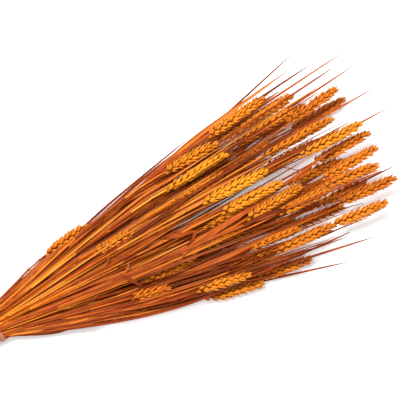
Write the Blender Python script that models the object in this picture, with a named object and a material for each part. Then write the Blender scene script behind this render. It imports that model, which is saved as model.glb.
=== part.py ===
# A tied bunch of dyed, dried wheat, lying on a flat surface.
# Metres, +Z up. X runs from the cut stem ends to the ears and Y runs across the fan of ears.
# The bunch is laid out from its tie at X = 0. At the end it is moved so that the origin is the
# bottom centre of its bounding box, on the surface it lies on.
import math

import bpy
import numpy as np
from mathutils import Vector

# Tie: a rubber band wound around the waist, an oval lying flat
TIE_CENTRE_Y = -0.003
TIE_HALF_WIDTH = 0.0245
TIE_HALF_HEIGHT = 0.0135
BAND_THICKNESS = 0.0018
BAND_WIDTH = 0.0022
BAND_TURNS = 4
BAND_EDGE_SHARE = 0.45
BAND_BACK_ANGLES = (-60, -20, 20, 60)
TIE_STEPS = 40

# Stems: widest at the cut, with the leaf sheath, and thinnest at the neck of the ear
CUT_END_X = -0.105
CUT_END_SCATTER = 0.010
STEM_CUT_RADIUS = 0.0019
STEM_NECK_RADIUS = 0.0011

# Fan: spread of the cut ends, bow of the stems on each side, and rise from the tie per metre
TAIL_SPREAD = 1.8
LEFT_BOW = 1.0
RIGHT_BOW = 1.35
RISE_TO_EARS = 0.085
RISE_TO_CUT = 0.060

# A stem whose neck lies this steeply off the axis passes the tie near its edge
EDGE_SLOPE = 0.30
TIE_FILL = 0.9

# Ears: outline radius at shares of the length, from the neck to the tip
EAR_SHARES = (0.0, 0.07, 0.25, 0.60, 0.88, 1.0)
EAR_RADII = (0.0011, 0.0038, 0.0058, 0.0055, 0.0034, 0.0010)

# Loose leaf blades, rolled and dried
LEAF_HALF_WIDTH = 0.0014
LEAF_TIP_HALF_WIDTH = 0.0005
LEAF_FLATNESS = 0.35
LEAF_TAPER_SHARE = 0.55
LEAF_BEND_SHARE = 0.62

# Each stalk: X and Y of the ear's tip, ear length, ear heading in degrees, level in the pile
STALKS = (
    (0.450, 0.096, 0.090, 7, 6), (0.440, 0.080, 0.076, 4, 4), (0.486, 0.082, 0.086, 5, 4),
    (0.480, 0.065, 0.100, 3, 4), (0.538, 0.063, 0.086, 7, 5), (0.544, 0.046, 0.084, 2, 2),
    (0.516, 0.031, 0.106, 1, 7), (0.546, 0.008, 0.098, 0, 7), (0.552, -0.007, 0.086, 1, 5),
    (0.549, -0.029, 0.084, 2, 5), (0.539, -0.050, 0.080, -6, 5), (0.556, -0.075, 0.084, -3, 4),
    (0.522, -0.064, 0.078, -3, 2), (0.531, -0.098, 0.082, -4, 4), (0.456, -0.092, 0.086, -3, 6),
    (0.381, -0.087, 0.082, -4, 4), (0.411, -0.119, 0.080, -6, 2), (0.328, -0.099, 0.076, -10, 5),
    (0.338, -0.119, 0.080, -14, 2), (0.370, 0.072, 0.082, 2, 7), (0.375, 0.054, 0.096, 4, 9),
    (0.362, 0.033, 0.082, 2, 6), (0.412, 0.010, 0.098, -1, 9), (0.421, -0.012, 0.090, -1, 8),
    (0.440, -0.027, 0.084, 4, 7), (0.470, -0.048, 0.074, -2, 7), (0.386, -0.016, 0.084, 1, 5),
    (0.349, -0.042, 0.076, -5, 6), (0.413, -0.063, 0.088, -10, 3), (0.415, -0.076, 0.076, -5, 5),
    (0.431, 0.042, 0.082, 9, 3), (0.222, 0.019, 0.062, 0, 8), (0.168, 0.055, 0.066, 7, 3),
    (0.231, -0.067, 0.058, -11, 6), (0.189, -0.078, 0.060, -13, 2), (0.140, 0.002, 0.060, -1, 1),
    (0.505, -0.022, 0.080, -3, 3), (0.483, 0.014, 0.084, 1, 3), (0.503, -0.044, 0.076, -2, 0),
    (0.495, 0.063, 0.082, 5, 1), (0.482, -0.078, 0.082, -5, 1), (0.280, -0.046, 0.074, 0, 4),
)

# Each leaf blade: X and Y of its tip, heading of its outer half in degrees, level in the pile
LEAVES = (
    (0.507, 0.130, 15, 3), (0.522, 0.107, 6, 2), (0.563, 0.101, 6, 2), (0.538, 0.088, 6, 5),
    (0.572, 0.080, 6, 1), (0.578, 0.041, 2, 3), (0.580, 0.010, 1, 6), (0.537, -0.058, -6, 8),
    (0.561, -0.062, -2, 1), (0.463, -0.110, -3, 4), (0.492, -0.131, -10, 3), (0.445, -0.145, -15, 1),
    (0.254, -0.095, -10, 0), (0.520, 0.044, 4, 8), (0.515, 0.076, 7, 3), (0.330, 0.094, 12, 1),
)

# Cross-sections of the bunch, where the pieces are laid side by side, and the room between them
FIRST_STATION = -0.120
LAST_STATION = 0.580
STATION_STEP = 0.005
TIE_REACH = 0.0075
CLEARANCE = 0.00018
SLANT_ALLOWANCE = 1.04

# Laying the pile: how far the pieces start apart, and how strongly each round moves them
START_SPACING = 0.007
TIE_CLOSING = 0.985
LAYING_ROUNDS = 500
FINISHING_ROUNDS = 500
EAR_PULL = 0.10
HEIGHT_PULL = 0.03
PUSH_SHARE = 0.42
STEM_STIFFNESS = 60.0

# Rings along a stem near the tie, their spacing farther out, and rings along an ear
TIE_RINGS = (-0.030, -0.010, 0.010, 0.030, 0.070)
STEM_RING_STEP = 0.060
EAR_RINGS = (0.005, 0.015, 0.030, 0.045, 0.060, 0.075, 0.090)

# Finishes: linear colour and roughness
STRAW_FINISH = ((0.480, 0.130, 0.026, 1.0), 0.50)
LEAF_FINISH = ((0.360, 0.130, 0.070, 1.0), 0.70)
BAND_FINISH = ((0.480, 0.210, 0.130, 1.0), 0.60)

stations = np.arange(FIRST_STATION, LAST_STATION + 0.5 * STATION_STEP, STATION_STEP)
random = np.random.default_rng(11)


def clear_scene():
    for scene_object in list(bpy.data.objects):
        bpy.data.objects.remove(scene_object, do_unlink=True)


def new_collection(name):
    collection = bpy.data.collections.new(name)
    bpy.context.scene.collection.children.link(collection)
    return collection


def new_material(name, finish):
    material = bpy.data.materials.new(name)
    material.use_nodes = True
    shader = material.node_tree.nodes["Principled BSDF"]
    shader.inputs["Base Color"].default_value = finish[0]
    shader.inputs["Roughness"].default_value = finish[1]
    shader.inputs["Metallic"].default_value = 0.0
    return material


def nearest_station(x):
    return int(round((x - FIRST_STATION) / STATION_STEP))


def fan_path(bend_x, bend_y, heading):
    # Y at every station: spread in the tail, a smooth curve from the tie to the bend, then straight
    edge = np.clip(bend_y / (EDGE_SLOPE * bend_x), -1.0, 1.0)
    start_y = TIE_HALF_WIDTH * TIE_FILL * edge
    bow = LEFT_BOW if bend_y > 0.0 else RIGHT_BOW
    slope_in = bow * (bend_y - start_y) / bend_x
    slope_out = math.tan(math.radians(heading))
    share = np.clip(stations / bend_x, 0.0, 1.0)
    path = start_y + (3 * share ** 2 - 2 * share ** 3) * (bend_y - start_y)
    path += (share ** 3 - 2 * share ** 2 + share) * bend_x * slope_in
    path += (share ** 3 - share ** 2) * bend_x * slope_out
    path += np.clip(stations - bend_x, 0.0, None) * slope_out
    path += np.clip(stations / CUT_END_X, 0.0, None) * start_y * (TAIL_SPREAD - 1.0)
    return path + np.clip(1.0 - np.abs(stations) / bend_x, 0.0, 1.0) * TIE_CENTRE_Y


def new_string(name, path, radii, first, bend, last, level):
    # One piece as a path and a radius at the stations from its cut end to its tip
    inside = np.zeros(len(stations), dtype=bool)
    inside[first:last + 1] = True
    reach = np.where(inside, radii * SLANT_ALLOWANCE + CLEARANCE, -1.0)
    return {"name": name, "path": path, "radii": radii, "reach": reach,
            "first": first, "bend": bend, "last": last, "level": level}


def stalk_string(number, entry):
    tip_x, tip_y, ear_length, heading, level = entry
    turn = math.radians(heading)
    neck_x = tip_x - ear_length * math.cos(turn)
    neck_y = tip_y - ear_length * math.sin(turn)
    first = nearest_station(CUT_END_X + random.uniform(-1, 1) * CUT_END_SCATTER)
    neck = nearest_station(neck_x)
    last = nearest_station(tip_x)
    stem_share = (stations - CUT_END_X) / (neck_x - CUT_END_X)
    stem = np.interp(stem_share, (0.0, 1.0), (STEM_CUT_RADIUS, STEM_NECK_RADIUS))
    ear_share = (stations - stations[neck]) / (stations[last] - stations[neck])
    radii = np.where(ear_share > 0.0, np.interp(ear_share, EAR_SHARES, EAR_RADII), stem)
    path = fan_path(neck_x, neck_y, heading)
    return new_string(f"stalk_{number:02d}", path, radii, first, neck, last, level)


def leaf_string(number, entry):
    tip_x, tip_y, heading, level = entry
    bend_x = LEAF_BEND_SHARE * tip_x
    bend_y = tip_y - (tip_x - bend_x) * math.tan(math.radians(heading))
    first = nearest_station(CUT_END_X + random.uniform(0, 1) * CUT_END_SCATTER)
    last = nearest_station(tip_x)
    share = (stations - stations[first]) / (stations[last] - stations[first])
    radii = np.interp(share, (LEAF_TAPER_SHARE, 1.0), (LEAF_HALF_WIDTH, LEAF_TIP_HALF_WIDTH))
    path = fan_path(bend_x, bend_y, heading)
    return new_string(f"leaf_{number:02d}", path, radii, first, nearest_station(bend_x), last, level)


def ring_stations(string):
    # Stations where the piece's tube has a ring: between rings it runs straight
    rings = {string["first"], string["bend"], string["last"]}
    rings.update(nearest_station(x) for x in TIE_RINGS)
    step = int(round(STEM_RING_STEP / STATION_STEP))
    rings.update(range(nearest_station(TIE_RINGS[-1]) + step, string["bend"] - step // 2, step))
    if string["name"].startswith("stalk"):
        rings.update(string["bend"] + int(round(x / STATION_STEP)) for x in EAR_RINGS)
    else:
        rings.update(range(string["bend"] + step // 2, string["last"], step // 2))
    return sorted(ring for ring in rings if string["first"] <= ring <= string["last"])


def within(string, inner):
    # A matrix that acts on the stations of one piece and leaves the others alone
    whole = np.eye(len(stations))
    span = slice(string["first"], string["last"] + 1)
    whole[span, span] = inner
    return whole


def smoother(string):
    # Smooths a line of values as a stiff stem would
    count = string["last"] - string["first"] + 1
    bending = np.zeros((count - 2, count))
    for row in range(count - 2):
        bending[row, row:row + 3] = (1.0, -2.0, 1.0)
    return within(string, np.linalg.inv(np.eye(count) + STEM_STIFFNESS * bending.T @ bending))


def straightener(string):
    # Fits straight runs between the piece's rings to a line of values
    rings = ring_stations(string)
    inside = np.arange(string["first"], string["last"] + 1)
    hats = np.stack([np.interp(inside, rings, row) for row in np.eye(len(rings))], axis=1)
    return within(string, hats @ np.linalg.inv(hats.T @ hats) @ hats.T)


def apply_each(matrices, values):
    return np.einsum("nij,nj->ni", matrices, values)


def push_apart(y, z, reach):
    # Moves every two pieces that press together away from each other, at each station
    across = y[:, None] - y[None]
    above = z[:, None] - z[None]
    distance = np.sqrt(across ** 2 + above ** 2) + 1e-9
    overlap = np.clip(reach[:, None] + reach[None] - distance, 0.0, None)
    itself = np.arange(len(y))
    overlap[itself, itself] = 0.0
    step = PUSH_SHARE * overlap / distance
    y += (across * step).sum(axis=1)
    z += (above * step).sum(axis=1)
    return overlap.max()


def hold_in_tie(y, z, reach, half_height):
    # Keeps the pieces inside the band's oval where they pass it
    near = np.abs(stations) <= TIE_REACH
    centre_z = half_height + BAND_THICKNESS
    off_y = y[:, near] - TIE_CENTRE_Y
    off_z = z[:, near] - centre_z
    room_y = TIE_HALF_WIDTH - reach[:, near]
    room_z = half_height - reach[:, near]
    out = np.sqrt((off_y / room_y) ** 2 + (off_z / room_z) ** 2)
    scale = 1.0 / np.maximum(out, 1.0)
    y[:, near] = TIE_CENTRE_Y + off_y * scale
    z[:, near] = centre_z + off_z * scale


def settle(strings):
    # Lowers the pieces from a tall, spread pile while the tie closes around them
    order = np.argsort([string["level"] for string in strings], kind="stable")
    rank = np.empty((len(strings), 1))
    rank[order, 0] = np.arange(len(strings))
    reach = np.stack([string["reach"] for string in strings])
    floor = np.maximum(reach, 0.0)
    wanted_y = np.stack([string["path"] for string in strings])
    rise = np.where(stations > 0.0, RISE_TO_EARS, RISE_TO_CUT) * np.abs(stations)
    wanted_z = BAND_THICKNESS + rank / len(strings) * (2.0 * TIE_HALF_HEIGHT + rise)
    pull = np.zeros_like(reach)
    for row, string in enumerate(strings):
        pull[row, string["bend"]:string["last"] + 1] = EAR_PULL
    smooth = np.stack([smoother(string) for string in strings])
    straight = np.stack([straightener(string) for string in strings])
    y = wanted_y.copy()
    z = wanted_z + rank * START_SPACING
    start_height = 0.5 * START_SPACING * len(strings)

    for turn in range(LAYING_ROUNDS + FINISHING_ROUNDS):
        laying = turn < LAYING_ROUNDS
        half_height = max(TIE_HALF_HEIGHT, start_height * TIE_CLOSING ** turn)
        if laying:
            z += HEIGHT_PULL * (wanted_z - z)
            y += pull * (wanted_y - y)
            y = wanted_y + apply_each(smooth, y - wanted_y)
            z = wanted_z + apply_each(smooth, z - wanted_z)
        for repeat in range(2):
            worst = push_apart(y, z, reach)
            hold_in_tie(y, z, reach, half_height)
            z = np.maximum(z, floor)
        if not laying:
            y = apply_each(straight, y)
            z = np.maximum(apply_each(straight, z), floor)
    print(f"largest squeeze left between two pieces: {worst * 1000:.3f} mm")
    return y, z


def add_tube(string, y, z, collection, material, outline=None):
    # A tube through the piece's rings, round or with the outline of a flat leaf
    rings = ring_stations(string)
    curve = bpy.data.curves.new(string["name"], "CURVE")
    curve.dimensions = "3D"
    curve.use_fill_caps = True
    curve.render_resolution_u = 0
    if outline is None:
        curve.bevel_depth = STEM_CUT_RADIUS
        curve.bevel_resolution = 1
    else:
        curve.bevel_mode = "OBJECT"
        curve.bevel_object = outline
    spline = curve.splines.new("POLY")
    spline.use_smooth = True
    spline.points.add(len(rings) - 1)
    for point, ring in zip(spline.points, rings):
        point.co = (stations[ring], y[ring], z[ring], 1.0)
        point.radius = string["radii"][ring] / STEM_CUT_RADIUS
    curve.materials.append(material)
    tube = bpy.data.objects.new(string["name"], curve)
    collection.objects.link(tube)
    return tube


def add_outline(name, points, collection):
    # A closed flat outline that the leaves or the band are swept with
    curve = bpy.data.curves.new(name, "CURVE")
    curve.dimensions = "2D"
    curve.fill_mode = "NONE"
    spline = curve.splines.new("POLY")
    spline.use_cyclic_u = True
    spline.points.add(len(points) - 1)
    for point, (across, out) in zip(spline.points, points):
        point.co = (across, out, 0.0, 1.0)
    outline = bpy.data.objects.new(name, curve)
    outline.hide_render = True
    outline.display_type = "WIRE"
    collection.objects.link(outline)
    return outline


def leaf_outline():
    wide = STEM_CUT_RADIUS
    flat = LEAF_FLATNESS * STEM_CUT_RADIUS
    return ((wide, 0.0), (0.0, -flat), (-wide, 0.0), (0.0, flat))


def band_outline():
    # The round backs of the turns, side by side on a flat inner face
    half = 0.5 * BAND_WIDTH * BAND_TURNS
    points = []
    for turn in reversed(range(BAND_TURNS)):
        middle = -half + BAND_WIDTH * (turn + 0.5)
        for angle in reversed(BAND_BACK_ANGLES):
            bulge = (1.0 - BAND_EDGE_SHARE) * math.cos(math.radians(angle))
            lift = BAND_THICKNESS * (BAND_EDGE_SHARE + bulge)
            points.append((lift, middle + 0.5 * BAND_WIDTH * math.sin(math.radians(angle))))
    return points + [(0.0, -half), (0.0, half)]


def add_tie(collection, guides, material):
    curve = bpy.data.curves.new("tie", "CURVE")
    curve.dimensions = "3D"
    curve.twist_mode = "Z_UP"
    curve.bevel_mode = "OBJECT"
    curve.bevel_object = add_outline("band_outline", band_outline(), guides)
    curve.render_resolution_u = 0
    spline = curve.splines.new("POLY")
    spline.use_cyclic_u = True
    spline.points.add(TIE_STEPS - 1)
    for step, point in enumerate(spline.points):
        angle = 2.0 * math.pi * step / TIE_STEPS
        point.co = (TIE_HALF_WIDTH * math.cos(angle), TIE_HALF_HEIGHT * math.sin(angle), 0.0, 1.0)
    curve.materials.append(material)
    tie = bpy.data.objects.new("tie", curve)
    tie.location = (0.0, TIE_CENTRE_Y, TIE_HALF_HEIGHT + BAND_THICKNESS)
    tie.rotation_euler = (math.pi / 2, 0.0, math.pi / 2)
    collection.objects.link(tie)
    return tie


def add_pieces(collection):
    guides = new_collection("guides")
    straw = new_material("dyed_straw", STRAW_FINISH)
    blade = new_material("dried_leaf", LEAF_FINISH)
    rubber = new_material("rubber_band", BAND_FINISH)
    flat = add_outline("leaf_outline", leaf_outline(), guides)
    stalks = [stalk_string(number, entry) for number, entry in enumerate(STALKS, 1)]
    leaves = [leaf_string(number, entry) for number, entry in enumerate(LEAVES, 1)]
    y, z = settle(stalks + leaves)
    pieces = [add_tie(collection, guides, rubber)]
    for string, across, up in zip(stalks, y, z):
        pieces.append(add_tube(string, across, up, collection, straw))
    for string, across, up in zip(leaves, y[len(stalks):], z[len(stalks):]):
        pieces.append(add_tube(string, across, up, collection, blade, flat))
    return pieces


def bounds(pieces):
    bpy.context.view_layer.update()
    depsgraph = bpy.context.evaluated_depsgraph_get()
    low = Vector((math.inf,) * 3)
    high = Vector((-math.inf,) * 3)
    for piece in pieces:
        shape = piece.evaluated_get(depsgraph)
        for vertex in shape.to_mesh().vertices:
            place = shape.matrix_world @ vertex.co
            low = Vector(map(min, low, place))
            high = Vector(map(max, high, place))
        shape.to_mesh_clear()
    return low, high


clear_scene()
bunch = new_collection("wheat_bunch")
bunch_pieces = add_pieces(bunch)
bunch_low, bunch_high = bounds(bunch_pieces)
anchor = bpy.data.objects.new("bunch_anchor", None)
anchor.location = -0.5 * (bunch_low + bunch_high)
anchor.location.z = -bunch_low.z
bunch.objects.link(anchor)
for bunch_piece in bunch_pieces:
    bunch_piece.parent = anchor
print("size in millimetres:", [round(side * 1000, 1) for side in bunch_high - bunch_low])
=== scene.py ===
import math
import random

import bmesh
import bpy
import numpy as np
from mathutils import Euler, Matrix, Vector


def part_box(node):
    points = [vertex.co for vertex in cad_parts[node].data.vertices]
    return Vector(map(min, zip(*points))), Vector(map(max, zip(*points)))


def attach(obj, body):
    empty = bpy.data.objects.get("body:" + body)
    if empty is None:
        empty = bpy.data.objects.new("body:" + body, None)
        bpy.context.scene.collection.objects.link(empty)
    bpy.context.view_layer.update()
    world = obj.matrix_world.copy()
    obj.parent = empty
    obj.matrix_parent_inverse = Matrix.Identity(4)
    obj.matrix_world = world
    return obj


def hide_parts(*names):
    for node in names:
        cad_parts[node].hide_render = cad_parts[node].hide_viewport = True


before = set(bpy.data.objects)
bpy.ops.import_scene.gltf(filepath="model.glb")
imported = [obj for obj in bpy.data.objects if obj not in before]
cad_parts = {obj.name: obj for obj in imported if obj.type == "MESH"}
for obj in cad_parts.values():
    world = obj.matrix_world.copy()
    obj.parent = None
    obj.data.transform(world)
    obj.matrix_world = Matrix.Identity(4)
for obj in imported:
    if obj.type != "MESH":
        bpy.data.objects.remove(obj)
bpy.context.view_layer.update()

chance = random.Random(7)
tieLow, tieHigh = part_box("tie")
tieAlong = (tieLow.x + tieHigh.x) / 2
bandToAxis = 0.003       # the band sits this much to one side of the bunch's axis
bunchAcross = (tieLow.y + tieHigh.y) / 2 + bandToAxis


# Picture and light

picture = {
    "turn": 27.5,          # degrees from the bunch's axis to the picture's lower edge
    "width": 0.520,        # metres across the picture at the middle of the pile
    "middleHeight": 0.030,
    "lens": 135.0,
    "sensor": 36.0,
    "along": 0.312,        # the picture's centre, from the tie
    "across": 0.0165,
    "pixels": 400,
    "clipEnd": 20.0,
}
softboxes = (
    # name, toward the picture's right, toward its top, height, size, watts
    ("keyLight", -0.48, 0.62, 1.75, 0.60, 58.0),
    ("fillLight", 1.10, -0.60, 1.25, 1.2, 6.0),
    ("topLight", 0.0, 0.10, 1.95, 1.2, 10.0),
)
studio = {"floorSize": 8.0, "floorTone": 0.88, "floorGlow": 0.30, "skyTone": 0.95, "skyStrength": 0.24}


def pictureAxes():
    # Toward the picture's right and toward its top
    turn = math.radians(picture["turn"])
    return Vector((math.cos(turn), -math.sin(turn), 0)), Vector((math.sin(turn), math.cos(turn), 0))


def cameraHeight():
    # From the middle of the pile up to the camera
    return picture["width"] * picture["lens"] / picture["sensor"]


def addCamera():
    right, up = pictureAxes()
    aim = Vector((tieAlong + picture["along"], bunchAcross + picture["across"], picture["middleHeight"]))
    bpy.ops.object.camera_add(location=aim + Vector((0, 0, cameraHeight())))
    camera = bpy.context.object
    camera.name = "pictureCamera"
    camera.rotation_euler = (0, 0, -math.radians(picture["turn"]))
    camera.data.lens = picture["lens"]
    camera.data.sensor_width = picture["sensor"]
    camera.data.clip_end = picture["clipEnd"]
    bpy.context.scene.camera = camera
    for name, toRight, toTop, height, size, watts in softboxes:
        spot = aim + right * toRight + up * toTop
        spot.z = height
        bpy.ops.object.light_add(type="AREA", location=spot)
        lamp = bpy.context.object
        lamp.name = name
        lamp.data.size = size
        lamp.data.energy = watts
        lamp.rotation_euler = (aim - spot).to_track_quat("-Z", "Y").to_euler()


# Shader maths

class Wire:
    # One output socket, so that sums on it read as sums
    def __init__(self, tree, socket):
        self.tree = tree
        self.socket = socket

    def maths(self, operation, first, second=0.0):
        return self.tree.add("ShaderNodeMath", {"operation": operation}, {0: first, 1: second})

    def __add__(self, other):
        return self.maths("ADD", self, other)

    def __radd__(self, other):
        return self.maths("ADD", other, self)

    def __sub__(self, other):
        return self.maths("SUBTRACT", self, other)

    def __rsub__(self, other):
        return self.maths("SUBTRACT", other, self)

    def __mul__(self, other):
        return self.maths("MULTIPLY", self, other)

    def __rmul__(self, other):
        return self.maths("MULTIPLY", other, self)

    def __pow__(self, other):
        return self.maths("POWER", self, other)


class Finish:
    # One material and its node tree
    def __init__(self, name):
        self.material = bpy.data.materials.new(name)
        self.material.use_nodes = True
        self.nodes = self.material.node_tree.nodes
        self.links = self.material.node_tree.links
        self.shader = self.nodes["Principled BSDF"]

    def fill(self, node, values):
        for key, value in values.items():
            if isinstance(value, Wire):
                self.links.new(value.socket, node.inputs[key])
            else:
                node.inputs[key].default_value = value

    def add(self, kind, settings=None, values=None, out=0):
        node = self.nodes.new(kind)
        for key, value in (settings or {}).items():
            if key == "stops":
                self.setStops(node.color_ramp, value)
            else:
                setattr(node, key, value)
        self.fill(node, values or {})
        return Wire(self, node.outputs[out])

    def setStops(self, ramp, stops):
        while len(ramp.elements) < len(stops):
            ramp.elements.new(0.5)
        for element, (place, colour) in zip(ramp.elements, stops):
            element.position = place
            element.color = (*colour, 1)

    def ramp(self, wire, stops):
        return self.add("ShaderNodeValToRGB", {"stops": stops}, {"Fac": wire})

    def mix(self, share, first, second):
        return self.add("ShaderNodeMix", {"data_type": "RGBA"}, {0: share, 6: first, 7: second}, 2)

    def attribute(self, name, out):
        # out is 0 for its colour, 1 for its vector and 2 for its value
        return self.add("ShaderNodeAttribute", {"attribute_name": name}, None, out)

    def tone(self):
        # Along the part, the part's luck, and around, across or joint
        split = self.add("ShaderNodeSeparateColor", None, {"Color": self.attribute("tone", 0)})
        return [Wire(self, split.socket.node.outputs[channel]) for channel in range(3)]

    def noise(self, place, stretch, detail):
        # stretch is the pattern's fineness along X, Y and Z
        spread = self.add("ShaderNodeVectorMath", {"operation": "MULTIPLY"}, {0: place, 1: stretch})
        return self.add("ShaderNodeTexNoise", None, {"Vector": spread, "Scale": 1.0, "Detail": detail})

    def waves(self, share, count):
        # That many ridges over a share from 0 to 1
        return self.add("ShaderNodeMath", {"operation": "SINE"}, {0: share * (2 * math.pi * count)})

    def bump(self, height, strength, distance):
        values = {"Height": height, "Strength": strength, "Distance": distance}
        return self.add("ShaderNodeBump", None, values)

    def finish(self, **values):
        self.fill(self.shader, {key.replace("_", " "): value for key, value in values.items()})
        return self.material


# Finishes

# Tones along a husk: its dye, with painted shade at its base, where it lies under its neighbour
huskDyeAndBaseShade = ((0.0, (0.150, 0.016, 0.0005)), (0.16, (0.430, 0.092, 0.003)), (0.45, (0.640, 0.172, 0.008)),
             (0.78, (0.560, 0.128, 0.009)), (1.0, (0.380, 0.085, 0.016)))
strawTones = ((0.27, (0.100, 0.005, 0.0002)), (0.45, (0.310, 0.036, 0.001)), (0.60, (0.600, 0.125, 0.003)),
              (0.82, (0.840, 0.310, 0.030)))
leafTones = ((0.28, (0.080, 0.006, 0.0004)), (0.50, (0.260, 0.034, 0.002)), (0.70, (0.470, 0.095, 0.012)),
             (0.86, (0.680, 0.220, 0.065)))
bandTones = ((0.30, (0.300, 0.110, 0.055)), (0.60, (0.420, 0.180, 0.100)), (0.80, (0.500, 0.240, 0.150)))
redDye = (0.260, 0.028, 0.001, 1)
# Painted shade: the dark red on the husks' sides, inner faces and overlapped bases
paintedShadeRed = (0.170, 0.018, 0.0006, 1)
jointDye = (0.20, 0.04, 0.006, 1)
goldDye = (0.820, 0.360, 0.012, 1)
dyedGloss = {"Specular_IOR_Level": 0.30, "Specular_Tint": (1.0, 0.66, 0.40, 1)}


def makeHuskFinish():
    # Dyed husk, golden on its back, with fine veins along it; the dark red on its sides, on its inner face
    # and at its base, where the husks overlap, is painted shade
    made = Finish("dyedHusk")
    along, luck, around = made.tone()
    stalkTint = made.attribute("tint", 2)
    place = made.attribute("rest", 1)
    blotch = made.noise(place, (260, 500, 500), 4)
    # How far toward the husk's sides and inner face: the mask for its painted shade
    side = made.add("ShaderNodeMath", {"operation": "ABSOLUTE"}, {0: around - 0.5}) * 4
    # Along the husk: the dye's tone, with painted shade at the base, where it lies under its neighbour
    colour = made.ramp(along + (blotch - 0.5) * 0.30, huskDyeAndBaseShade)
    colour = made.mix((luck - 0.40) * 0.7, colour, redDye)
    colour = made.mix(stalkTint * stalkTint * 0.50, colour, goldDye)
    # Painted shade: darker red toward the husk's sides and inner face, and at its base, where it lies under
    # its neighbour
    colour = made.mix(side ** 2.0 * 0.85 + (0.18 - along) * 2.5, colour, paintedShadeRed)
    veins = made.waves(around, 9)
    grain = made.noise(place, (600, 3200, 3200), 3)
    height = veins * 0.35 + grain
    shine = 0.34 + blotch * 0.30
    return made.finish(Base_Color=colour, Roughness=shine, Normal=made.bump(height, 0.45, 0.00025),
                       **dyedGloss)


def makeStrawFinish():
    # Glossy straw with long streaks of dye
    made = Finish("dyedStraw")
    along, luck, joint = made.tone()
    stalkTint = made.attribute("tint", 2)
    place = made.attribute("rest", 1)
    streaks = made.noise(place, (9, 900, 900), 5)
    patches = made.noise(place, (22, 60, 60), 3)
    shade = streaks * 0.75 + patches * 0.45 - 0.08 + (stalkTint - 0.4) * 0.20 + (luck - 0.5) * 0.34
    colour = made.ramp(shade, strawTones)
    colour = made.mix(joint * 0.75, colour, jointDye)
    fibres = made.noise(place, (25, 3600, 3600), 3)
    shine = 0.26 + streaks * 0.30
    return made.finish(Base_Color=colour, Roughness=shine, Normal=made.bump(fibres, 0.35, 0.00025),
                       **dyedGloss)


def makeLeafFinish():
    # Dry leaf: pinkish brown, ribbed along its length
    made = Finish("driedLeaf")
    along, luck, across = made.tone()
    place = made.attribute("rest", 1)
    streaks = made.noise(place, (14, 1500, 1500), 5)
    patches = made.noise(place, (40, 90, 90), 4)
    colour = made.ramp(streaks * 0.65 + patches * 0.5 - 0.1 + (luck - 0.5) * 0.28, leafTones)
    ribs = made.waves(across, 5)
    height = ribs * 0.4 + streaks
    return made.finish(Base_Color=colour, Roughness=0.48 + patches * 0.3,
                       Normal=made.bump(height, 0.5, 0.0003), **dyedGloss)


def makeBandFinish():
    # Tan rubber, slightly dusty
    made = Finish("tanRubber")
    place = made.add("ShaderNodeTexCoord", None, None, 3)
    dust = made.noise(place, (180, 180, 180), 5)
    grain = made.noise(place, (2200, 2200, 2200), 2)
    colour = made.ramp(dust, bandTones)
    return made.finish(Base_Color=colour, Roughness=0.50 + dust * 0.25,
                       Normal=made.bump(grain, 0.3, 0.0001))


def makeFloorFinish():
    # Near white, with a faint glow that lightens its shadows
    made = Finish("paleFloor")
    tone = studio["floorTone"]
    return made.finish(Base_Color=(tone, tone, tone, 1), Roughness=0.9,
                       Emission_Color=(1, 1, 1, 1), Emission_Strength=studio["floorGlow"])


# Modelling helpers

def deselectAll():
    bpy.ops.object.select_all(action="DESELECT")


def pickOnly(*pieces):
    deselectAll()
    for piece in pieces:
        piece.select_set(True)
    bpy.context.view_layer.objects.active = pieces[0]


def selectWhere(test):
    # In edit mode, selects the vertices whose place passes the test
    mesh = bmesh.from_edit_mesh(bpy.context.object.data)
    for vertex in mesh.verts:
        vertex.select_set(bool(test(vertex.co)))
    mesh.select_flush(True)
    mesh.select_flush(False)
    bmesh.update_edit_mesh(bpy.context.object.data)


def drawOut(name, rings, sides, pointed=False):
    # A tube drawn out along X ring by ring, from a flat start: each ring is x, half width, half thickness
    x, wide, thick = rings[0]
    deselectAll()
    bpy.ops.mesh.primitive_circle_add(vertices=sides, radius=1, fill_type="NGON",
                                      rotation=(0, math.pi / 2, 0))
    piece = bpy.context.object
    piece.name = name
    bpy.ops.object.transform_apply()
    bpy.ops.object.mode_set(mode="EDIT")
    bpy.ops.mesh.select_all(action="SELECT")
    bpy.ops.transform.translate(value=(x, 0, 0))
    bpy.ops.transform.resize(value=(1, wide, thick), center_override=(x, 0, 0))
    for nextX, nextWide, nextThick in rings[1:]:
        bpy.ops.mesh.extrude_region_move(TRANSFORM_OT_translate={"value": (nextX - x, 0, 0)})
        grow = (1, nextWide / wide, nextThick / thick)
        bpy.ops.transform.resize(value=grow, center_override=(nextX, 0, 0))
        x, wide, thick = nextX, nextWide, nextThick
    if pointed:
        bpy.ops.mesh.merge(type="CENTER")
    bpy.ops.mesh.select_all(action="SELECT")
    bpy.ops.mesh.normals_make_consistent(inside=False)
    bpy.ops.object.mode_set(mode="OBJECT")
    bpy.ops.object.shade_smooth()
    return piece


def verticesOf(mesh):
    places = np.empty(len(mesh.vertices) * 3)
    mesh.vertices.foreach_get("co", places)
    return places.reshape(-1, 3)


def giveTone(mesh, along, luck, third):
    # Per vertex: how far along its part, the part's luck, and around, across or joint
    tone = mesh.attributes.get("tone") or mesh.attributes.new("tone", "FLOAT_COLOR", "POINT")
    values = np.ones((len(mesh.vertices), 4))
    values[:, 0] = along
    values[:, 1] = luck
    values[:, 2] = third
    tone.data.foreach_set("color", values.ravel())


def keepRest(mesh, shift=(0, 0, 0)):
    # Keeps each vertex's place before it is bent, for patterns that follow the part
    rest = mesh.attributes.get("rest") or mesh.attributes.new("rest", "FLOAT_VECTOR", "POINT")
    rest.data.foreach_set("vector", (verticesOf(mesh) + np.array(shift)).ravel())


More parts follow.
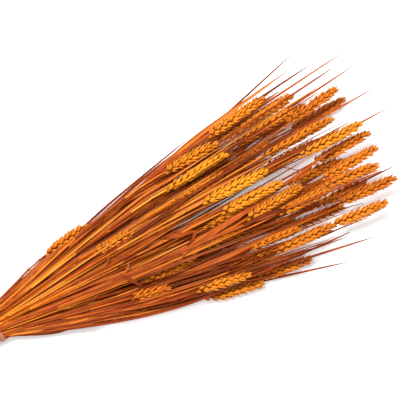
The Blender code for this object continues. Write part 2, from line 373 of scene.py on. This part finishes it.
def joinAll(pieces, name):
    pickOnly(*pieces)
    bpy.ops.object.join()
    joined = bpy.context.object
    joined.name = name
    joined.data.name = name
    return joined


def placeCopy(mesh, name, matrix):
    copy = bpy.data.objects.new(name, mesh.copy())
    copy.data.transform(matrix)
    bpy.context.scene.collection.objects.link(copy)
    return copy


# Lines of the bunch

ringGap = 0.0018      # the rings of a CAD tube stand farther apart than this
floorGap = 0.0002     # the lowest a piece may come


def cadRings(name):
    # Centre and half width of every ring of a CAD tube, from its cut end to its tip
    places = np.unique(np.round(verticesOf(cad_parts[name].data), 6), axis=0)
    places = places[np.argsort(places[:, 0], kind="stable")]
    rings = np.split(places, np.flatnonzero(np.diff(places[:, 0]) > ringGap) + 1)
    centres = np.array([ring.mean(axis=0) for ring in rings])
    halfWidths = [np.linalg.norm(ring - centre, axis=1).max() for ring, centre in zip(rings, centres)]
    return centres, np.array(halfWidths)


def distances(points):
    return np.concatenate(([0.0], np.cumsum(np.linalg.norm(np.diff(points, axis=0), axis=1))))


def smoothLine(points, step=0.008):
    # The same line as a smooth one, with a point every step
    marks = distances(points)
    slopes = np.gradient(points, marks, axis=0)
    count = max(4, int(marks[-1] / step))
    where = np.linspace(0, marks[-1], count)
    before = np.clip(np.searchsorted(marks, where, side="right") - 1, 0, len(marks) - 2)
    gap = (marks[before + 1] - marks[before])[:, None]
    share = ((where - marks[before])[:, None]) / gap
    start = (1 + 2 * share) * (1 - share) ** 2 * points[before]
    start += share * (1 - share) ** 2 * gap * slopes[before]
    end = share ** 2 * (3 - 2 * share) * points[before + 1]
    end += share ** 2 * (share - 1) * gap * slopes[before + 1]
    return start + end


def addGuide(line, radii=None, tilts=None):
    # A curve that a straight part is bent along
    curve = bpy.data.curves.new("guide", "CURVE")
    curve.dimensions = "3D"
    curve.twist_mode = "Z_UP"
    spline = curve.splines.new("POLY")
    spline.points.add(len(line) - 1)
    for index, (point, place) in enumerate(zip(spline.points, line)):
        point.co = (*place, 1)
        point.radius = 1.0 if radii is None else radii[index]
        point.tilt = 0.0 if tilts is None else tilts[index]
    guide = bpy.data.objects.new("guide", curve)
    bpy.context.scene.collection.objects.link(guide)
    return guide


def bendAlong(piece, guide):
    pickOnly(piece)
    bend = piece.modifiers.new("bend", "CURVE")
    bend.object = guide
    bend.deform_axis = "POS_X"
    bpy.ops.object.modifier_apply(modifier=bend.name)
    bpy.data.objects.remove(guide)


def restOnFloor(mesh):
    # What would dip into the surface is pressed flat on it
    places = verticesOf(mesh)
    places[:, 2] = np.maximum(places[:, 2], floorGap)
    mesh.vertices.foreach_set("co", places.ravel())
    mesh.update()


# Ear: husks, bristles, spikelets

husk = {
    # share of the length, half width, half thickness in millimetres
    "rings": ((0.0, 0.90, 0.80), (0.07, 1.75, 1.50), (0.24, 2.40, 2.10), (0.45, 2.45, 2.20),
              (0.68, 1.80, 1.60), (0.88, 0.80, 0.75), (0.97, 0.26, 0.26)),
    "length": 0.0124,
    "sides": 8,
    "keel": 0.00030,
    "innerFlat": 0.40,       # what is left of the depth of its inner side
    "tipFrom": 0.92,         # share of the length past which the tip is lifted
    "tipLift": 0.0005,
}
bristle = {"length": 0.010, "halfWidth": 0.00021, "sides": 3, "forward": 0.55}
spikelet = {
    # for each husk: yaw outward, pitch up, turn about its length, place along, out and up in mm, size
    "husks": ((12, 9, -28, 0.0, 0.1, 1.5, 1.0), (12, -9, 208, 0.0, 0.1, -1.5, 1.0),
              (21, 0, -90, 2.4, 2.0, 0.0, 0.90), (30, 15, -50, -1.2, 1.5, 1.5, 0.78),
              (30, -15, 230, -1.2, 1.5, -1.5, 0.78)),
    "bristleShares": (0.50, 0.50, 0.55, 0.20, 0.20),
    "bristleFrom": 0.96,     # share of the husk's length where its bristle starts
    "kinds": 6,
    "tipKinds": 3,
    "loose": 4.0,            # degrees by which each husk's angles may differ
    "sizeLoose": 0.07,
    "bristleLoose": 0.4,
}
ear = {
    "pitch": 0.0048,
    "fewest": 9,             # spikelets, besides the one across the tip
    "start": -0.001,
    "yaw": 8.5,
    "yawShares": (1.15, 0.75),   # how much of the yaw is there at the foot and at the tip
    "loose": {"size": 0.05, "yaw": 3, "tipYaw": 5, "roll": 8, "pitch": 3},
    "sizes": ((0.0, 0.56), (0.10, 0.86), (0.32, 1.03), (0.68, 1.00), (0.90, 0.84), (1.0, 0.74)),
    "offset": 0.0002,
    "rachis": 0.0019,
    # place along the rachis in metres, and share of its half width
    "rachisRings": ((-0.002, 0.4), (0.006, 1.0)),
    "rachisEnd": (0.9, 0.6),     # share of the ear's length, and of the half width
    "rachisSides": 6,
    "tipBristles": 2.0,
    "tipCount": 4,
    "endRoom": 0.0100,
}


def makeHusk():
    length = husk["length"]
    rings = [(share * length, wide * 0.001, thick * 0.001) for share, wide, thick in husk["rings"]]
    piece = drawOut("husk", rings, husk["sides"], pointed=True)
    bpy.ops.object.mode_set(mode="EDIT")
    selectWhere(lambda place: place.z < -1e-5)
    bpy.ops.transform.resize(value=(1, 1, husk["innerFlat"]), center_override=(0, 0, 0))
    selectWhere(lambda place: place.z > 0.0009 and abs(place.y) < 0.0004)
    bpy.ops.transform.translate(value=(0, 0, husk["keel"]))
    selectWhere(lambda place: place.x > husk["tipFrom"] * length)
    bpy.ops.transform.translate(value=(0, 0, husk["tipLift"]))
    bpy.ops.object.mode_set(mode="OBJECT")
    places = verticesOf(piece.data)
    around = np.arctan2(-places[:, 1], places[:, 2] + 1e-7) / (2 * math.pi) + 0.5
    giveTone(piece.data, places[:, 0] / length, 0.5, around)
    keepRest(piece.data)
    return piece


def makeBristle():
    length, half = bristle["length"], bristle["halfWidth"]
    rings = ((0, half, half), (0.5 * length, 0.8 * half, 0.8 * half), (length, 0.2 * half, 0.2 * half))
    piece = drawOut("bristle", rings, bristle["sides"])
    giveTone(piece.data, 0.95, 0.3, 0.5)
    keepRest(piece.data)
    return piece


def jitter(amount):
    return chance.uniform(-amount, amount)


def huskMatrix(yaw, pitch, turn, place, size):
    lean = Euler((math.radians(turn), -math.radians(pitch), math.radians(yaw))).to_matrix().to_4x4()
    return Matrix.Translation(place) @ lean @ Matrix.Scale(size, 4)


def makeSpikelet(huskMesh, bristleMesh, bristleScale):
    # Two florets, the small middle floret and two outer husks, fanned up and down
    parts = []
    for entry, share in zip(spikelet["husks"], spikelet["bristleShares"]):
        yaw, pitch, turn, along, out, up, size = entry
        loose = spikelet["loose"]
        place = Vector((along, out, up)) * 0.001
        matrix = huskMatrix(yaw + jitter(loose), pitch + jitter(loose), turn + 2 * jitter(loose), place,
                            size * (1 + jitter(spikelet["sizeLoose"])))
        part = placeCopy(huskMesh, "huskCopy", matrix)
        toneShift(part.data, chance.random())
        parts.append(part)
        tip = matrix @ Vector((husk["length"] * spikelet["bristleFrom"], 0, husk["tipLift"]))
        long = share * bristleScale * (1 + jitter(spikelet["bristleLoose"]))
        heading = matrix.to_3x3() @ Vector((1, 0, 0))
        heading = heading.normalized().lerp(Vector((1, 0, 0)), bristle["forward"])
        turn = heading.to_track_quat("X", "Z").to_matrix().to_4x4() @ Matrix.Diagonal((long, 1, 1, 1))
        parts.append(placeCopy(bristleMesh, "bristleCopy", Matrix.Translation(tip) @ turn))
    return joinAll(parts, "spikelet")


def toneShift(mesh, luck):
    # Gives one copied part its own luck, and its own place in the patterns
    tone = mesh.attributes["tone"]
    values = np.empty(len(mesh.vertices) * 4)
    tone.data.foreach_get("color", values)
    values[1::4] = luck
    tone.data.foreach_set("color", values)
    rest = mesh.attributes["rest"]
    places = np.empty(len(mesh.vertices) * 3)
    rest.data.foreach_get("vector", places)
    places[0::3] += luck
    places[1::3] += luck * 0.37
    rest.data.foreach_set("vector", places)


def interpolate(table, share):
    return float(np.interp(share, [row[0] for row in table], [row[1] for row in table]))


def makeEar(length, roll):
    # Spikelets in turn on the two sides of the straight rachis, and one more across at the tip
    count = max(ear["fewest"], round((length - ear["endRoom"]) / ear["pitch"]))
    loose = ear["loose"]
    footYaw, tipYaw = ear["yawShares"]
    parts = []
    for index in range(count + 1):
        share = index / count
        along = share * (length - ear["endRoom"]) + ear["start"]
        size = interpolate(ear["sizes"], share) * (1 + jitter(loose["size"]))
        side = 1 if index % 2 else -1
        last = index == count
        if last:
            yaw = jitter(loose["tipYaw"])
            turn = 90
        else:
            yaw = side * ear["yaw"] * (footYaw + (tipYaw - footYaw) * share) + jitter(loose["yaw"])
            turn = jitter(loose["roll"])
        lean = Euler((math.radians(turn), math.radians(jitter(loose["pitch"])), math.radians(yaw)))
        mirror = Matrix.Diagonal((1, 1 if last else side, 1, 1))
        place = Vector((along, 0 if last else side * ear["offset"], 0))
        matrix = Matrix.Translation(place) @ lean.to_matrix().to_4x4() @ mirror @ Matrix.Scale(size, 4)
        kinds = tipKinds if count - index < ear["tipCount"] else spikeletKinds
        part = placeCopy(chance.choice(kinds).data, "spikeletCopy", matrix)
        if matrix.determinant() < 0:
            part.data.flip_normals()
        parts.append(part)
    endShare, endThin = ear["rachisEnd"]
    rings = [(along, thin * ear["rachis"], thin * ear["rachis"])
             for along, thin in ear["rachisRings"] + ((length * endShare, endThin),)]
    core = drawOut("rachis", rings, ear["rachisSides"])
    core.data.materials.append(strawFinish)
    giveTone(core.data, 0.1, 0.2, 1.0)
    keepRest(core.data)
    whole = joinAll(parts + [core], "ear")
    whole.data.transform(Matrix.Rotation(math.radians(roll), 4, "X"))
    return whole


# Straw: hollow stem, joints, leaf sheaths

straw = {
    "sides": 8,
    "step": 0.030,
    "wall": 0.42,            # share of the radius that is straw at the cut
    "boreDepth": 0.012,
    "jointSwell": 1.28,
    "jointLength": 0.0032,
    "jointPlaces": ((0.060, 0.130), (0.230, 0.330)),
    "sheathLengths": (0.070, 0.125),
    "sheathGap": 0.00022,
    # share of the sheath's length, and how many gaps it stands off the straw there
    "sheathRings": ((0.0, 0.3), (0.03, 1.2), (0.5, 1.1), (0.9, 1.3), (0.97, 1.8), (1.0, 1.3)),
    "sheathSlant": (0.004, 0, 0.0004),
    "freeNeck": 0.10,        # no joint is nearer the ear than this
}


def makeStraw(neck, halfWidthAt, joints):
    # The stem from its cut end to the neck of the ear, with a bore at the cut and swollen joints
    swells = {0.0: 1.0, neck + 0.002: 1.0}
    for mark in np.arange(straw["step"], neck - 0.01, straw["step"]):
        swells[float(mark)] = 1.0
    for joint in joints:
        half = straw["jointLength"] / 2
        for mark, swell in ((-2 * half, 1.0), (-half, straw["jointSwell"]), (half, straw["jointSwell"]),
                            (2 * half, 0.97)):
            swells[joint + mark] = swell
    rings = []
    for mark in sorted(swells):
        radius = halfWidthAt(mark) * swells[mark]
        rings.append((mark, radius, radius))
    piece = drawOut("straw", rings, straw["sides"])
    bpy.ops.object.mode_set(mode="EDIT")
    bpy.ops.mesh.select_mode(type="FACE")
    mesh = bmesh.from_edit_mesh(piece.data)
    for face in mesh.faces:
        face.select_set(face.normal.x < -0.9)
    bmesh.update_edit_mesh(piece.data)
    bpy.ops.mesh.inset(thickness=halfWidthAt(0) * straw["wall"])
    bpy.ops.mesh.extrude_region_move(TRANSFORM_OT_translate={"value": (straw["boreDepth"], 0, 0)})
    bpy.ops.mesh.select_mode(type="VERT")
    bpy.ops.object.mode_set(mode="OBJECT")
    places = verticesOf(piece.data)
    nearest = np.min([np.abs(places[:, 0] - joint) for joint in joints] or [np.ones(len(places))], axis=0)
    jointTone = np.clip(1.3 - nearest / straw["jointLength"], 0, 1)
    giveTone(piece.data, places[:, 0] / neck, chance.random(), jointTone)
    keepRest(piece.data, (chance.random(), 0, 0))
    return piece


def makeSheath(start, length, halfWidthAt):
    # The leaf's sheath, wrapped round the straw above a joint and open on a slant at its end
    rings = []
    for share, extra in straw["sheathRings"]:
        half = halfWidthAt(start + share * length) + straw["sheathGap"] * extra
        rings.append((start + share * length, half, half))
    piece = drawOut("sheath", rings, straw["sides"])
    bpy.ops.object.mode_set(mode="EDIT")
    selectWhere(lambda place: place.x > start + 0.965 * length and place.z > 0)
    bpy.ops.transform.translate(value=straw["sheathSlant"])
    bpy.ops.object.mode_set(mode="OBJECT")
    places = verticesOf(piece.data)
    around = np.arctan2(places[:, 1], places[:, 2]) / (2 * math.pi) + 0.5
    giveTone(piece.data, (places[:, 0] - start) / length, chance.random(), around)
    keepRest(piece.data, (chance.random(), 0, 0))
    return piece


# Leaf blades

blade = {
    "columns": 4,
    "step": 0.010,
    "thickness": 0.00022,
    "fold": 0.55,            # depth of the fold along the middle, as a share of the half width
    "edgeRise": 0.4,         # how far its edges rise, as a share of the fold
    "taper": ((0.0, 0.75), (0.12, 1.0), (0.55, 0.86), (0.85, 0.42), (1.0, 0.07)),
    "mostTwist": 160,
}


def makeBlade(line, halfWidth, twist, look):
    # A long folded ribbon, bent along the line, with its fold and taper from look and its twist in degrees
    fold = look["fold"]
    length = float(distances(line)[-1])
    rows = max(6, int(length / blade["step"]))
    deselectAll()
    bpy.ops.mesh.primitive_grid_add(x_subdivisions=rows, y_subdivisions=blade["columns"], size=1,
                                    location=(0.5, 0, 0))
    piece = bpy.context.object
    piece.name = "blade"
    bpy.ops.object.transform_apply()
    bpy.ops.object.mode_set(mode="EDIT")
    bpy.ops.mesh.select_all(action="SELECT")
    bpy.ops.transform.resize(value=(length, 2 * halfWidth, 1), center_override=(0, 0, 0))
    selectWhere(lambda place: abs(place.y) < 0.1 * halfWidth)
    bpy.ops.transform.translate(value=(0, 0, -fold * halfWidth))
    selectWhere(lambda place: abs(place.y) > 0.9 * halfWidth)
    bpy.ops.transform.translate(value=(0, 0, blade["edgeRise"] * fold * halfWidth))
    bpy.ops.object.mode_set(mode="OBJECT")
    places = verticesOf(piece.data)
    giveTone(piece.data, places[:, 0] / length, chance.random(), places[:, 1] / (2 * halfWidth) + 0.5)
    keepRest(piece.data, (chance.random(), chance.random(), 0))
    shares = distances(line) / length
    radii = [interpolate(look["taper"], share) for share in shares]
    tilts = [math.radians(twist) * share for share in shares]
    bendAlong(piece, addGuide(line, radii, tilts))
    wall = piece.modifiers.new("wall", "SOLIDIFY")
    wall.thickness = blade["thickness"]
    wall.offset = 0
    bpy.ops.object.modifier_apply(modifier=wall.name)
    bpy.ops.object.shade_smooth()
    return piece


# Tie: one rubber band wound round four times

band = {
    "turns": 4,
    "width": 0.0021,
    "thickness": 0.0016,
    "pitch": 0.0022,
    "stepsPerTurn": 40,
    "crossingLift": 0.0014,   # the strand that goes back over the others stands this much proud
    "crossingFrom": 0.80,     # share of the last turn where it starts back, on the right hand side
    "slack": 0.00035,
    "uneven": 0.012,          # share by which a turn's width varies
    "inset": 0.0002,
    "startAngle": 100,        # degrees
}


def bandLine():
    # The band's closed line: four turns along the bunch, and a strand back over them
    halfAcross = (tieHigh.y - tieLow.y) / 2 - band["thickness"] / 2 - band["inset"]
    halfUp = (tieHigh.z - tieLow.z) / 2 - band["thickness"] / 2 - band["inset"]
    middle = (tieLow + tieHigh) / 2
    steps = band["turns"] * band["stepsPerTurn"]
    reach = (band["turns"] - 1) * band["pitch"]
    points = []
    for step in range(steps):
        turn = step / band["stepsPerTurn"]
        share = turn / (band["turns"] - 1 + band["crossingFrom"])
        lift = 0.0
        if share <= 1:
            along = (share - 0.5) * reach
        else:
            back = step - steps * (1 - (1 - band["crossingFrom"]) / band["turns"])
            back /= band["stepsPerTurn"] * (1 - band["crossingFrom"])
            along = (0.5 - back * back * (3 - 2 * back)) * reach
            lift = band["crossingLift"] * math.sin(math.pi * back) ** 0.7
        angle = 2 * math.pi * turn + math.radians(band["startAngle"])
        along += band["slack"] * math.sin(3 * angle + turn)
        grow = 1 + band["uneven"] * math.sin(2 * angle + 1.3 * turn)
        points.append(middle + Vector((along, (halfAcross * grow + lift) * math.cos(angle),
                                       (halfUp + lift * 0.5) * math.sin(angle))))
    return points


def makeBand():
    # The band's line is a closed curve with a flat rounded section, made a mesh
    deselectAll()
    bpy.ops.curve.primitive_bezier_circle_add(radius=1)
    section = bpy.context.object
    section.data.resolution_u = 3
    section.scale = (band["width"] / 2, band["thickness"] / 2, 1)
    bpy.ops.object.transform_apply()
    line = bandLine()
    curve = bpy.data.curves.new("bandLine", "CURVE")
    curve.dimensions = "3D"
    curve.twist_mode = "MINIMUM"
    spline = curve.splines.new("POLY")
    spline.points.add(len(line) - 1)
    for point, place in zip(spline.points, line):
        point.co = (*place, 1)
    spline.use_cyclic_u = True
    curve.bevel_mode = "OBJECT"
    curve.bevel_object = section
    piece = bpy.data.objects.new("rubberBand", curve)
    bpy.context.scene.collection.objects.link(piece)
    pickOnly(piece)
    bpy.ops.object.convert(target="MESH")
    piece = bpy.context.object
    bpy.ops.object.mode_set(mode="EDIT")
    bpy.ops.mesh.select_all(action="SELECT")
    bpy.ops.mesh.normals_make_consistent(inside=False)
    bpy.ops.object.mode_set(mode="OBJECT")
    bpy.ops.object.shade_smooth()
    bpy.data.objects.remove(section)
    return piece


# The whole bunch

bunch = {
    # half width allowed for blades, on the left and on the right of the axis, at places from the tie
    "leftEdge": ((-0.11, 0.034), (0.0, 0.021), (0.040, 0.027), (0.093, 0.042), (0.156, 0.051),
                 (0.253, 0.069), (0.355, 0.097), (0.451, 0.114), (0.58, 0.12)),
    "rightEdge": ((-0.11, 0.038), (0.0, 0.024), (0.030, 0.046), (0.070, 0.054), (0.123, 0.064),
                  (0.173, 0.081), (0.225, 0.094), (0.383, 0.124), (0.45, 0.14), (0.58, 0.14)),
    # how many, where they leave the stalk from its cut, lengths, half widths, drift, least and most rise
    "blades": ((3, (0.03, 0.16), (0.20, 0.36), (0.0011, 0.0021), 0.012, -0.006, 0.004),
               (4, (0.18, 0.40), (0.14, 0.28), (0.0010, 0.0023), 0.016, -0.010, 0.006),
               (4, (0.12, 0.38), (0.16, 0.30), (0.0022, 0.0046), 0.022, -0.028, -0.006)),
    "leafShare": 0.25,       # share of the blades with the dry leaf's finish; the others have the straw's
    "longest": 0.572,
    "outlineMargin": 0.002,
    "leastHeight": 0.0012,
}
# roll of each ear in degrees, and how golden its dye is, from 0 to 1
stalkLooks = (
    (15, 0.60), (-28, 0.45), (12, 0.60), (-20, 0.45), (35, 0.25), (-10, 0.35), (60, 0.50), (5, 0.75),
    (25, 0.40), (8, 0.45), (-15, 0.35), (20, 0.30), (40, 0.10), (-10, 0.45), (15, 0.50), (-25, 0.40),
    (10, 0.45), (0, 0.60), (-20, 0.60), (30, 0.65), (70, 0.95), (-70, 0.50), (4, 1.00), (-5, 0.85),
    (14, 0.60), (20, 0.50), (-60, 0.55), (30, 0.50), (-15, 0.35), (75, 0.40), (-35, 0.50), (20, 0.50),
    (0, 0.30), (50, 0.15), (-30, 0.35), (0, 0.30), (25, 0.35), (-40, 0.30), (10, 0.30), (-20, 0.35),
    (35, 0.30), (0, 0.40),
)


def keepInside(line):
    # Draws a line in from the bunch's outline, smoothly, and keeps it off the surface
    for point in line:
        along = point[0] - tieAlong
        across = point[1] - bunchAcross
        left = interpolate(bunch["leftEdge"], along) - bunch["outlineMargin"]
        right = interpolate(bunch["rightEdge"], along) - bunch["outlineMargin"]
        point[1] = bunchAcross + min(max(across, -right), left)
        point[0] = min(point[0], tieAlong + bunch["longest"])
        point[2] = max(point[2], bunch["leastHeight"])
    return line


def besideLine(stalkLine, start, length, away, rise):
    # A line that leaves the stalk's line at start and drifts to one side of it
    marks = distances(stalkLine)
    step = blade["step"]
    count = int(length / step)
    wave = chance.uniform(0, 6.28)
    line = []
    for index in range(count + 1):
        mark = start + index * step
        place = np.array([np.interp(mark, marks, stalkLine[:, axis]) for axis in range(3)])
        if mark > marks[-1]:
            heading = stalkLine[-1] - stalkLine[-4]
            place = stalkLine[-1] + heading / np.linalg.norm(heading) * (mark - marks[-1])
        share = index / count
        drift = share ** 0.8 * (1 + 0.15 * math.sin(3.5 * share + wave))
        place[1] += away * drift
        place[2] += rise * drift
        line.append(place)
    return keepInside(np.array(line))


def makeStalk(number):
    # One stalk with its ear and the blades that grow on it, in place of the CAD stalk
    name = f"stalk_{number:02d}"
    roll, tint = stalkLooks[number - 1]
    centres, halfWidths = cadRings(name)
    marks = distances(centres)
    neckRing = int(np.argmin(halfWidths[:-1]))
    neck = float(marks[neckRing])
    line = smoothLine(centres)

    def halfWidthAt(mark):
        return float(np.interp(mark, marks[:neckRing + 1], halfWidths[:neckRing + 1]))

    joints = [chance.uniform(*pair) for pair in straw["jointPlaces"]]
    joints = [joint for joint in joints if joint < neck - straw["freeNeck"]]
    parts = [makeStraw(neck, halfWidthAt, joints)]
    parts[0].data.materials.append(strawFinish)
    for joint in joints:
        length = chance.uniform(*straw["sheathLengths"])
        length = min(length, neck - joint - 0.03)
        sheath = makeSheath(joint + 0.002, length, halfWidthAt)
        sheath.data.materials.append(strawFinish)
        parts.append(sheath)
    wheatEar = makeEar(float(marks[-1]) - neck, roll)
    wheatEar.data.transform(Matrix.Translation((neck, 0, 0)))
    parts.append(wheatEar)
    stalk = joinAll(parts, name)
    bendAlong(stalk, addGuide(line))
    blades = []
    for count, starts, lengths, bladeWidths, spread, low, high in bunch["blades"]:
        for index in range(count):
            bladeStart = min(chance.uniform(*starts), neck - 0.03)
            rise = chance.uniform(low, high)
            bladeLine = besideLine(line, bladeStart, chance.uniform(*lengths), jitter(spread), rise)
            piece = makeBlade(bladeLine, chance.uniform(*bladeWidths), jitter(blade["mostTwist"]), blade)
            piece.data.materials.append(leafFinish if chance.random() < bunch["leafShare"] else strawFinish)
            blades.append(piece)
    stalk = joinAll([stalk] + blades, f"wheat_{number:02d}")
    tintLayer = stalk.data.attributes.new("tint", "FLOAT", "POINT")
    tintLayer.data.foreach_set("value", np.full(len(stalk.data.vertices), tint))
    restOnFloor(stalk.data)
    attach(stalk, "root")
    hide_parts(name)


# Loose leaf blades held in the tie

looseLeaf = {
    "count": 16,
    "widen": 1.5,            # over the half width of the CAD leaf
    "fold": 0.35,
    "taper": ((0.0, 1.0), (0.55, 0.95), (0.85, 0.75), (0.96, 0.55), (1.0, 0.20)),
    "mostTwist": 35,
}


def makeLooseLeaf(number):
    name = f"leaf_{number:02d}"
    centres, halfWidths = cadRings(name)
    line = smoothLine(centres, blade["step"])
    widest = float(halfWidths.max()) * looseLeaf["widen"]
    piece = makeBlade(line, widest, jitter(looseLeaf["mostTwist"]), looseLeaf)
    piece.name = f"driedLeaf_{number:02d}"
    piece.data.materials.append(leafFinish)
    restOnFloor(piece.data)
    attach(piece, "root")
    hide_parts(name)


# Scraps of dry leaf that lie on the bunch

scrap = {
    "fold": 0.4,
    "taper": ((0.0, 0.45), (0.15, 1.0), (0.80, 0.90), (1.0, 0.25)),
    "mostTwist": 50,
    "pixelStep": 3.0,
    "firstHeight": 0.04,     # used where nothing lies at the first pixel
    "sightFrom": 0.5,
    "offFloor": 0.004,       # a hit lower than this isn't a stem
}
# half width in metres, lift above the stems, and the picture's pixels along the scrap
scrapLines = (
    (0.0032, 0.0013, ((163, 238), (180, 235), (196, 231), (193, 239), (187, 246))),
    (0.0007, 0.0004, ((262, 166), (275, 168), (285, 167), (295, 170), (303, 170))),
    (0.0018, 0.0009, ((109, 253), (108, 261), (106, 269))),
    (0.0024, 0.0011, ((123, 276), (131, 280), (138, 284), (145, 289))),
    (0.0022, 0.0010, ((240, 228), (252, 221), (264, 215), (286, 209))),
    (0.0004, 0.0003, ((24, 276), (28, 268), (33, 262), (39, 257), (42, 263))),
    (0.0009, 0.0005, ((165, 274), (172, 267), (180, 260), (186, 254), (191, 248))),
    (0.0013, 0.0007, ((118, 268), (124, 262), (132, 257), (141, 255))),
    (0.0012, 0.0007, ((128, 258), (129, 264), (126, 271), (120, 277))),
)


def placeOnPicture(px, py, height):
    # The place at a height that the camera shows at a pixel
    right, up = pictureAxes()
    away = cameraHeight()
    scale = picture["width"] / picture["pixels"] * (away + picture["middleHeight"] - height) / away
    middle = picture["pixels"] / 2
    place = Vector((tieAlong + picture["along"], bunchAcross + picture["across"], 0))
    place += right * (px - middle) * scale + up * (middle - py) * scale
    place.z = height
    return place


def heightOfPile(px, py, height):
    # How high the bunch is at a pixel, or the height given where nothing lies
    for attempt in range(2):
        place = placeOnPicture(px, py, height)
        start = Vector((place.x, place.y, scrap["sightFrom"]))
        view = bpy.context.evaluated_depsgraph_get()
        hit, spot = bpy.context.scene.ray_cast(view, start, Vector((0, 0, -1)))[:2]
        if hit and spot.z > scrap["offFloor"]:
            height = spot.z
    return height


def bridgeGaps(heights):
    # A stiff scrap lies on the high places and bridges the low ones between them
    bridged = []
    for index in range(len(heights)):
        spans = [(low, high) for low in range(index + 1) for high in range(index, len(heights))]
        bridged.append(max(heights[low] + (heights[high] - heights[low]) * (index - low) / max(1, high - low)
                           for low, high in spans))
    return bridged


def makeScraps():
    parts = []
    for halfWidth, lift, pixels in scrapLines:
        pixelLine = smoothLine(np.array(pixels, dtype=float), scrap["pixelStep"])
        heights = []
        height = scrap["firstHeight"]
        for px, py in pixelLine:
            height = heightOfPile(px, py, height)
            heights.append(height)
        line = np.array([placeOnPicture(px, py, height + lift)
                         for (px, py), height in zip(pixelLine, bridgeGaps(heights))])
        part = makeBlade(line, halfWidth, jitter(scrap["mostTwist"]), scrap)
        part.data.materials.append(leafFinish)
        parts.append(part)
    return joinAll(parts, "leafScraps")


huskFinish = makeHuskFinish()
strawFinish = makeStrawFinish()
leafFinish = makeLeafFinish()
bandFinish = makeBandFinish()

print("husks and spikelets")
oneHusk = makeHusk()
oneHusk.data.materials.append(huskFinish)
oneBristle = makeBristle()
oneBristle.data.materials.append(huskFinish)
spikeletKinds = [makeSpikelet(oneHusk.data, oneBristle.data, 1.0) for kind in range(spikelet["kinds"])]
tipKinds = [makeSpikelet(oneHusk.data, oneBristle.data, ear["tipBristles"])
            for kind in range(spikelet["tipKinds"])]

print("stalks")
for number in range(1, len(stalkLooks) + 1):
    makeStalk(number)
for loose in [oneHusk, oneBristle] + spikeletKinds + tipKinds:
    bpy.data.objects.remove(loose)

print("loose leaves")
for number in range(1, looseLeaf["count"] + 1):
    makeLooseLeaf(number)

print("scraps of leaf")
leafScraps = makeScraps()
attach(leafScraps, "root")

print("tie")
tieBand = makeBand()
tieBand.data.materials.append(bandFinish)
restOnFloor(tieBand.data)
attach(tieBand, "root")
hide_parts("tie")

print("floor, light and camera")
deselectAll()
bpy.ops.mesh.primitive_plane_add(size=studio["floorSize"])
paleFloor = bpy.context.object
paleFloor.name = "paleFloor"
paleFloor.data.materials.append(makeFloorFinish())
addCamera()
sky = bpy.data.worlds.new("studio")
bpy.context.scene.world = sky
sky.use_nodes = True
sky.node_tree.nodes["Background"].inputs["Color"].default_value = (*[studio["skyTone"]] * 3, 1)
sky.node_tree.nodes["Background"].inputs["Strength"].default_value = studio["skyStrength"]
bpy.context.scene.view_settings.view_transform = "Standard"
